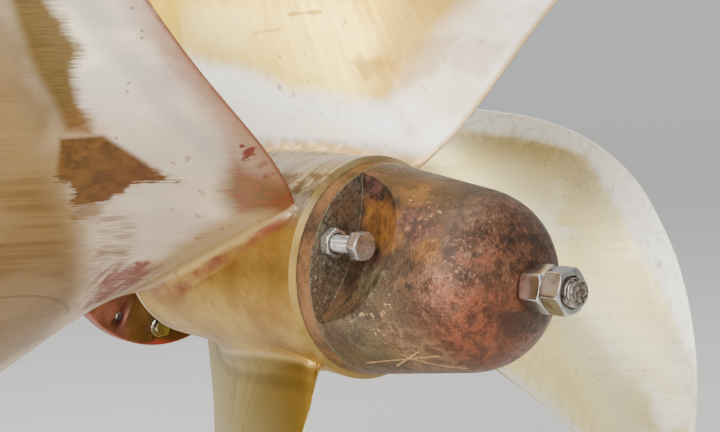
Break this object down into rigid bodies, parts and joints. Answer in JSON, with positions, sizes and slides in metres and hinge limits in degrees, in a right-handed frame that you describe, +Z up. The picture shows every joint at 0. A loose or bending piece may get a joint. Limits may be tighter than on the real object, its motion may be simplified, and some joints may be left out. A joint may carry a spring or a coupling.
{
  "type": "ship propeller",
  "caption": "Left-handed wide-bladed bronze ship propeller on a stub of tail shaft, with a tapered boss cap, turning in its flanged stern bearing.",
  "frame": {"origin": "on the shaft axis, in the plane where the bearing flange meets the hull", "axes": "+X aft along the shaft, +Y to starboard, +Z up"},
  "size_m": [0.805, 1.22, 1.22],
  "materials": {
    "blade_bronze": "ground and polished, stained",
    "cap_bronze": "cast, brown patina",
    "bearing_bronze": "machined, dull",
    "stainless_steel": "bright",
    "shaft_steel": "machined",
    "bearing_lining": "matt"
  },
  "bodies": {
    "bearing": {"stern_bearing_housing": "bearing_bronze", "bearing_liner": "bearing_lining", "flange_bolt_1": "stainless_steel", "flange_bolt_2": "stainless_steel", "flange_bolt_3": "stainless_steel", "flange_bolt_4": "stainless_steel", "flange_bolt_5": "stainless_steel", "flange_bolt_6": "stainless_steel", "flange_washer_1": "stainless_steel", "flange_washer_2": "stainless_steel", "flange_washer_3": "stainless_steel", "flange_washer_4": "stainless_steel", "flange_washer_5": "stainless_steel", "flange_washer_6": "stainless_steel"},
    "rotor": {"propeller_casting": "blade_bronze", "boss_cap": "cap_bronze", "cap_stud": "stainless_steel", "cap_nut_inner": "stainless_steel", "cap_nut_outer": "stainless_steel", "lock_screw_1": "stainless_steel", "lock_screw_2": "stainless_steel", "lock_nut_1": "stainless_steel", "lock_nut_2": "stainless_steel", "tail_shaft": "shaft_steel", "shaft_nut": "shaft_steel"}
  },
  "joints": [
    {"name": "propeller_turn", "type": "hinge", "parent": "bearing", "child": "rotor", "pos_m": [0, 0, 0], "axis": [1, 0, 0], "continuous": true}
  ]
}
